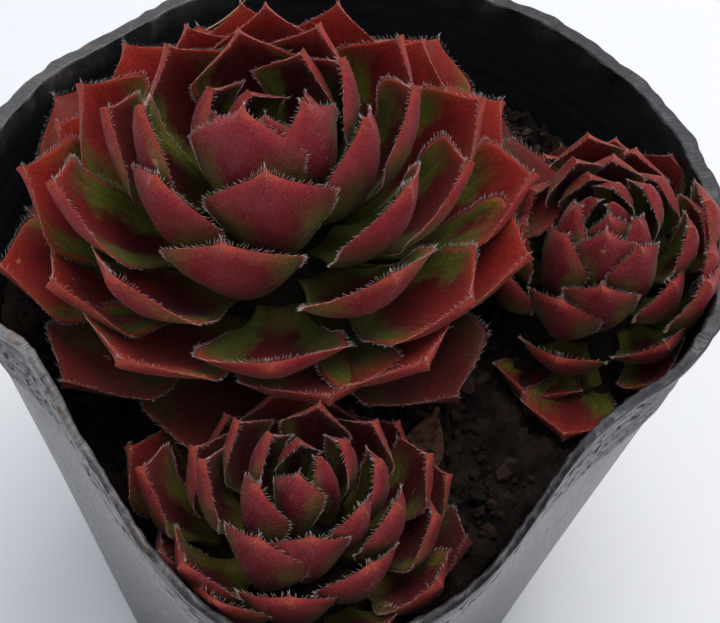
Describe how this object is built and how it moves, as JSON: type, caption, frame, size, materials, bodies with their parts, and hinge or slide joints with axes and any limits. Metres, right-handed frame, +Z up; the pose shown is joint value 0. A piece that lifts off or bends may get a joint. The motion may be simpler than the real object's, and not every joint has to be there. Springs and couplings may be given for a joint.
{
  "type": "potted houseleek",
  "caption": "Houseleek with dark red fleshy rosettes growing in a thin soft nursery pot that is squeezed out of round.",
  "frame": {"origin": "middle of the pot's underside, on the plane it stands on", "axes": "+Z up, +Y to the back of the pot, +X to its right; the pot's bulged front faces -Y"},
  "size_m": [0.1106, 0.1251, 0.1185],
  "materials": {
    "pot": "thin black polypropylene with a dull sheen",
    "soil": "loose dark peat and bark",
    "leaf": "fleshy dark red leaf with a soft bloom and fine hairs",
    "dead_leaf": "dry, papery brown leaf"
  },
  "bodies": {
    "root": {"pot": "pot", "soil": "soil", "rosette_main": "leaf", "rosette_right": "leaf", "rosette_front": "leaf", "dead_leaf_left": "dead_leaf", "dead_leaf_middle": "dead_leaf"}
  },
  "joints": []
}
